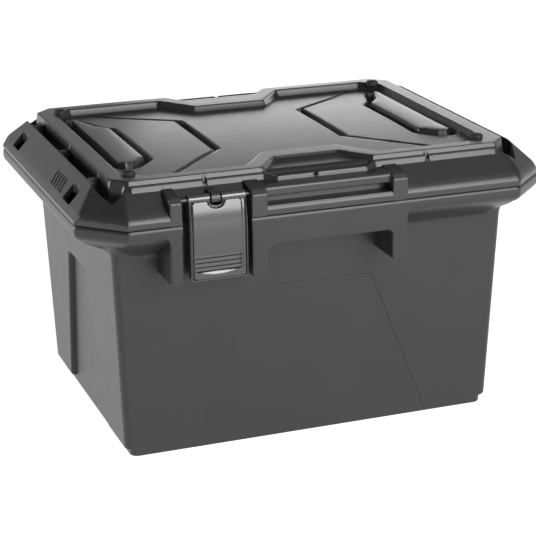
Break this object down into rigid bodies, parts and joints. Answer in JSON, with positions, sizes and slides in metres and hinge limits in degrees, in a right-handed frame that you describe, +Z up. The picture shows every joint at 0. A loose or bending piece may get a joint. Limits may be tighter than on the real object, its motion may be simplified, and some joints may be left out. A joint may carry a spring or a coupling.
{
  "type": "latching utility crate",
  "caption": "Rigid moulded crate with tapered tub, wide chamfered rim and a lift-off lid held by over-the-rim latches.",
  "frame": {"origin": "centre of the base, on the surface the crate stands on", "axes": "+X along the long side, +Y towards the far long side, +Z up"},
  "size_m": [0.4, 0.3168, 0.2403],
  "materials": {
    "shell": "fine moulded grain",
    "lid": "satin moulded plastic",
    "latch": "polished moulded plastic",
    "rubber": "matte rubber",
    "pin": "drawn steel wire"
  },
  "bodies": {
    "tub": {"tub": "shell"},
    "lid": {"lid": "lid", "lid_seal": "rubber", "latch_pin_front": "pin", "latch_pin_back": "pin", "stacking_pad_front_left": "rubber", "stacking_pad_front_right": "rubber", "stacking_pad_back_right": "rubber", "stacking_pad_back_left": "rubber"},
    "latch_front": {"latch_front": "latch"},
    "latch_back": {"latch_back": "latch"}
  },
  "joints": [
    {"name": "lid_lift", "type": "slide", "parent": "tub", "child": "lid", "axis": [0, 0, 1], "range_m": [0, 0.1]},
    {"name": "latch_front_swing", "type": "hinge", "parent": "lid", "child": "latch_front", "pos_m": [-0.0932, -0.151, 0.2236], "axis": [-1, 0, 0], "range_deg": [0, 120]},
    {"name": "latch_back_swing", "type": "hinge", "parent": "lid", "child": "latch_back", "pos_m": [0.0932, 0.151, 0.2236], "axis": [1, 0, 0], "range_deg": [0, 120]}
  ]
}
